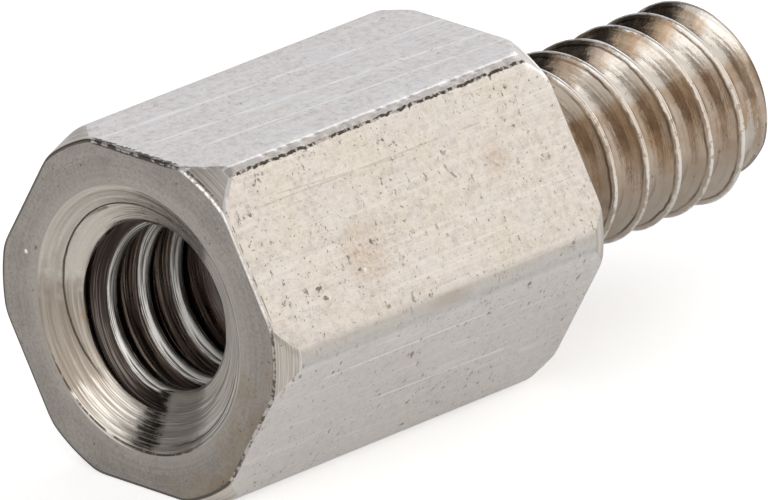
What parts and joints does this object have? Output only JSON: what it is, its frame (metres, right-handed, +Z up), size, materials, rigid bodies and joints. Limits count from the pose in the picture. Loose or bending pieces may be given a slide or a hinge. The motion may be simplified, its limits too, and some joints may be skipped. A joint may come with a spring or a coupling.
{
  "type": "hex standoff",
  "caption": "Male to female hex standoff: a chamfered hexagon body with a countersunk tapped blind hole in one end and a threaded stud on the other, for spacing boards and panels.",
  "frame": {"origin": "on the axis, in the plane of the shoulder that the stud grows out of", "axes": "+X along the axis towards the stud's tip, -X towards the tapped face, +Z up, with a flat of the hexagon below and another on top"},
  "size_m": [0.0109, 0.0054, 0.0048],
  "materials": {
    "nickel_plate": "warm nickel plate over drawn and turned brass, satin, with fine drawing lines and pits"
  },
  "bodies": {
    "root": {"hex_standoff": "nickel_plate"}
  },
  "joints": []
}
